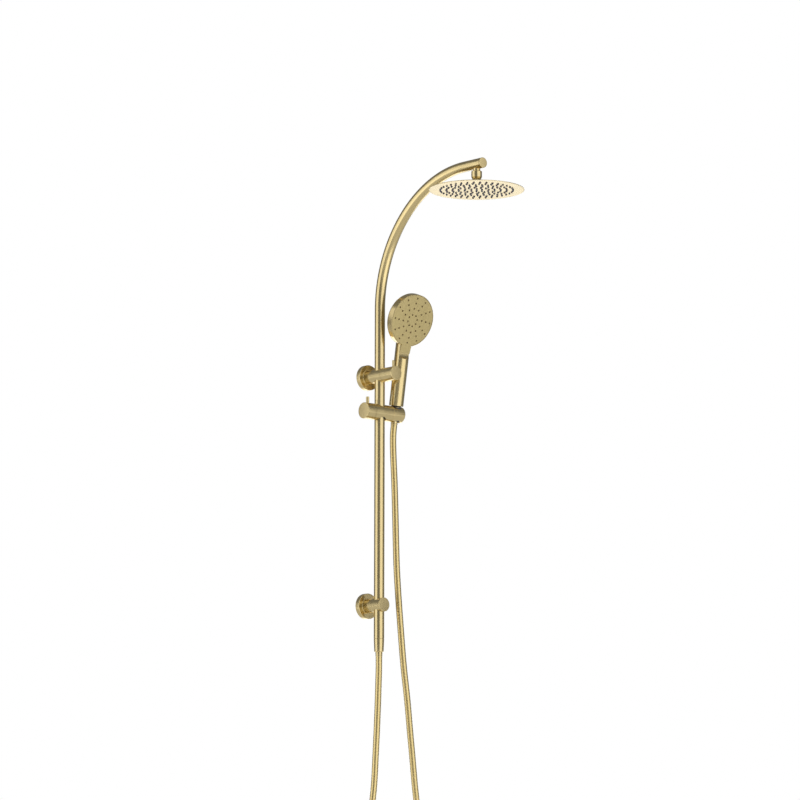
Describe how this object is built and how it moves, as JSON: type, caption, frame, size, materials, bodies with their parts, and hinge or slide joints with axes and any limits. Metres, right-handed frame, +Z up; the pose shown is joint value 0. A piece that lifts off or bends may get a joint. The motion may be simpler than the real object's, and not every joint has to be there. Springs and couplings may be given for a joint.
{
  "type": "rainfall shower column",
  "caption": "Wall-mounted shower column: round rail curving forward into a slim round rain head, with diverter knob, sliding tilting holder, hand shower and hose.",
  "frame": {"origin": "centre of the back face of the lower bracket's fixing plate, on the wall plane", "axes": "+Z up along the rail, -Y out of the wall towards the bather, +X to the bather's right when facing the wall"},
  "size_m": [0.2203, 0.452, 1.4906],
  "materials": {
    "brushed_gold": "brushed, gold PVD coating",
    "raw_brass": "machined brass",
    "stainless_steel": "machined stainless steel",
    "black_rubber": "moulded EPDM",
    "dark_acetal": "moulded, blue-black",
    "white_nylon": "moulded",
    "cartridge_plastic": "moulded",
    "grey_silicone": "moulded silicone, dark blue-grey",
    "brown_silicone": "moulded silicone, brown",
    "plated_abs": "ABS plated in brushed gold",
    "plated_abs_face": "ABS plated in brushed gold",
    "gold_stainless_sheet": "brushed stainless sheet, gold PVD coating",
    "gold_hose": "PVC hose with a gold metallised rib"
  },
  "bodies": {
    "column": {"lower_fixing_plate": "stainless_steel", "lower_fixing_screw_1": "stainless_steel", "lower_fixing_screw_2": "stainless_steel", "lower_flange": "brushed_gold", "lower_grub_screw": "stainless_steel", "lower_bracket_arm": "brushed_gold", "lower_arm_cap": "brushed_gold", "wall_union": "raw_brass", "union_washer": "black_rubber", "upper_flange": "brushed_gold", "upper_flange_o_ring": "black_rubber", "diverter_body": "brushed_gold", "diverter_cartridge": "cartridge_plastic", "rail_tube": "brushed_gold", "tube_spacer_seal": "black_rubber", "riser_tube": "brushed_gold", "arm_end_cap": "brushed_gold", "arm_outlet_nipple": "brushed_gold", "swivel_washer": "black_rubber", "swivel_nut": "brushed_gold", "rail_outlet_nipple": "raw_brass", "rail_hose_nut": "brushed_gold", "rail_hose_washer": "black_rubber", "rail_hose_ferrule": "brushed_gold", "shower_hose": "gold_hose"},
    "diverter_control": {"diverter_knob": "brushed_gold", "diverter_lever_pin": "brushed_gold", "diverter_stem": "raw_brass", "knob_grub_screw": "stainless_steel"},
    "ball_seat": {"ball_seat_ring": "white_nylon"},
    "rain_head": {"ball_stud": "raw_brass", "rain_head_hub": "brushed_gold", "rain_head_cover": "gold_stainless_sheet", "rain_head_nozzle_mat": "grey_silicone", "rain_head_faceplate": "gold_stainless_sheet"},
    "bush": {"rail_bush": "dark_acetal"},
    "slider": {"slider_body": "brushed_gold", "cradle_pivot_pin": "stainless_steel"},
    "lock": {"lock_knob": "brushed_gold", "lock_knob_pin": "brushed_gold", "clamp_screw": "stainless_steel"},
    "cradle": {"cradle": "brushed_gold", "cradle_liner": "dark_acetal"},
    "swivel_nut_end": {"handset_hose_nut": "brushed_gold", "handset_hose_ferrule": "brushed_gold", "handset_hose_washer": "black_rubber"},
    "handset": {"handset_body": "plated_abs", "handset_face_plate": "plated_abs_face", "handset_nozzle_mat": "brown_silicone", "handset_inlet_nipple": "raw_brass", "handset_seal_ring": "black_rubber"}
  },
  "joints": [
    {"name": "diverter_turn", "type": "hinge", "parent": "column", "child": "diverter_control", "pos_m": [0, -0.08, 0.491], "axis": [0, 1, 0], "range_deg": [-45, 45]},
    {"name": "rain_head_turn", "type": "hinge", "parent": "column", "child": "ball_seat", "pos_m": [0, -0.352, 0.878], "axis": [0, 0, 1], "continuous": true},
    {"name": "rain_head_tilt", "type": "hinge", "parent": "ball_seat", "child": "rain_head", "pos_m": [0, -0.352, 0.878], "axis": [1, 0, 0], "range_deg": [-12, 12]},
    {"name": "holder_slide", "type": "slide", "parent": "column", "child": "bush", "axis": [0, 0, 1], "range_m": [-0.05, 0.04], "deforming": ["shower_hose"]},
    {"name": "holder_swivel", "type": "hinge", "parent": "bush", "child": "slider", "pos_m": [0, -0.045, 0.412], "axis": [0, 0, 1], "range_deg": [-25, 30]},
    {"name": "lock_turn", "type": "hinge", "parent": "slider", "child": "lock", "pos_m": [-0.034, -0.045, 0.412], "axis": [1, 0, 0], "range_deg": [0, 90]},
    {"name": "cradle_tilt", "type": "hinge", "parent": "slider", "child": "cradle", "pos_m": [0.044, -0.045, 0.412], "axis": [1, 0, 0], "range_deg": [-3, 35]},
    {"name": "handset_lift", "type": "slide", "parent": "cradle", "child": "swivel_nut_end", "axis": [0, -0.165, 0.9863], "range_m": [0, 0.06]},
    {"name": "handset_spin", "type": "hinge", "parent": "swivel_nut_end", "child": "handset", "pos_m": [0.044, -0.045, 0.412], "axis": [0, -0.165, 0.9863], "range_deg": [-5, 60]}
  ]
}
